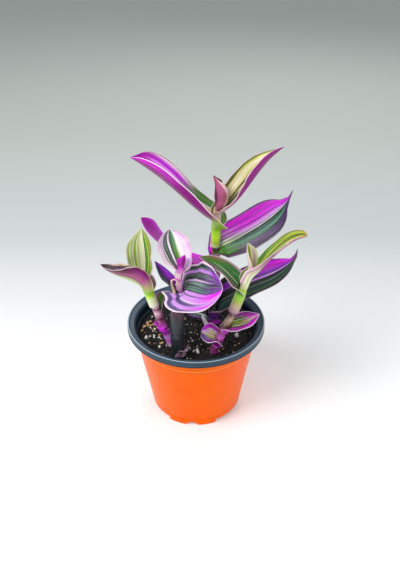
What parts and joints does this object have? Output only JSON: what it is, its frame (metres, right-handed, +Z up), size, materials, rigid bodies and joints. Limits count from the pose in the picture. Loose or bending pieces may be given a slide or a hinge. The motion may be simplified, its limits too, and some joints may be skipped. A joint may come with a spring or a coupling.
{
  "type": "potted tradescantia",
  "caption": "Small house plant with pointed, channelled striped leaves on upright stems, in a round tapered pot with a broad rounded rim and short feet.",
  "frame": {"origin": "centre of the pot's underside, on the surface it stands on", "axes": "+Z up along the pot's axis, -Y towards the front, where the shorter stems stand, and +X to the front's right"},
  "size_m": [0.138, 0.1111, 0.2116],
  "materials": {
    "dry_stalk": "dry and dull, beige",
    "left_leaf_1": "satin leaf, dark green with pale stripes",
    "left_leaf_2": "satin leaf, rose pink",
    "left_leaf_3": "satin leaf, lime and cream stripes",
    "left_scale": "satin leaf, magenta",
    "left_stem": "fleshy stem, pink",
    "pot_liner": "satin black",
    "pot_shell": "satin, moulded orange",
    "right_leaf_1": "satin leaf, magenta",
    "right_leaf_2": "satin leaf, magenta",
    "right_leaf_3": "satin leaf, dark green with pale stripes",
    "right_leaf_4": "satin leaf, lime and cream stripes",
    "right_leaf_5": "satin leaf, lime and cream stripes",
    "right_scale": "satin leaf, magenta",
    "right_stem": "fleshy stem, pinkish brown",
    "soil": "loose dark potting soil with bark and perlite",
    "tall_leaf_1": "satin leaf, dark green with pale stripes",
    "tall_leaf_2": "satin leaf, dark green with pale stripes",
    "tall_leaf_3": "satin leaf, magenta",
    "tall_leaf_4": "satin leaf, dark green with pale stripes",
    "tall_leaf_5": "satin leaf, magenta",
    "tall_leaf_6": "satin leaf, cream and olive",
    "tall_leaf_7": "satin leaf, rose pink",
    "tall_stem": "fleshy stem, brownish",
    "thick_leaf_1": "satin leaf, pink and lilac",
    "thick_leaf_2": "satin leaf, dark green with pale stripes",
    "thick_leaf_3": "satin leaf, pink and lilac",
    "thick_leaf_4": "satin leaf, magenta",
    "thick_scale": "dried scale, dark brown",
    "thick_stem": "fleshy stem, blackish green",
    "white_shoot": "fleshy shoot, whitish pink"
  },
  "bodies": {
    "root": {"dry_stalk": "dry_stalk", "left_leaf_1": "left_leaf_1", "left_leaf_2": "left_leaf_2", "left_leaf_3": "left_leaf_3", "left_scale": "left_scale", "left_stem": "left_stem", "pot_liner": "pot_liner", "pot_shell": "pot_shell", "right_leaf_1": "right_leaf_1", "right_leaf_2": "right_leaf_2", "right_leaf_3": "right_leaf_3", "right_leaf_4": "right_leaf_4", "right_leaf_5": "right_leaf_5", "right_scale": "right_scale", "right_stem": "right_stem", "soil": "soil", "tall_leaf_1": "tall_leaf_1", "tall_leaf_2": "tall_leaf_2", "tall_leaf_3": "tall_leaf_3", "tall_leaf_4": "tall_leaf_4", "tall_leaf_5": "tall_leaf_5", "tall_leaf_6": "tall_leaf_6", "tall_leaf_7": "tall_leaf_7", "tall_stem": "tall_stem", "thick_leaf_1": "thick_leaf_1", "thick_leaf_2": "thick_leaf_2", "thick_leaf_3": "thick_leaf_3", "thick_leaf_4": "thick_leaf_4", "thick_scale": "thick_scale", "thick_stem": "thick_stem", "white_shoot": "white_shoot"}
  },
  "joints": []
}
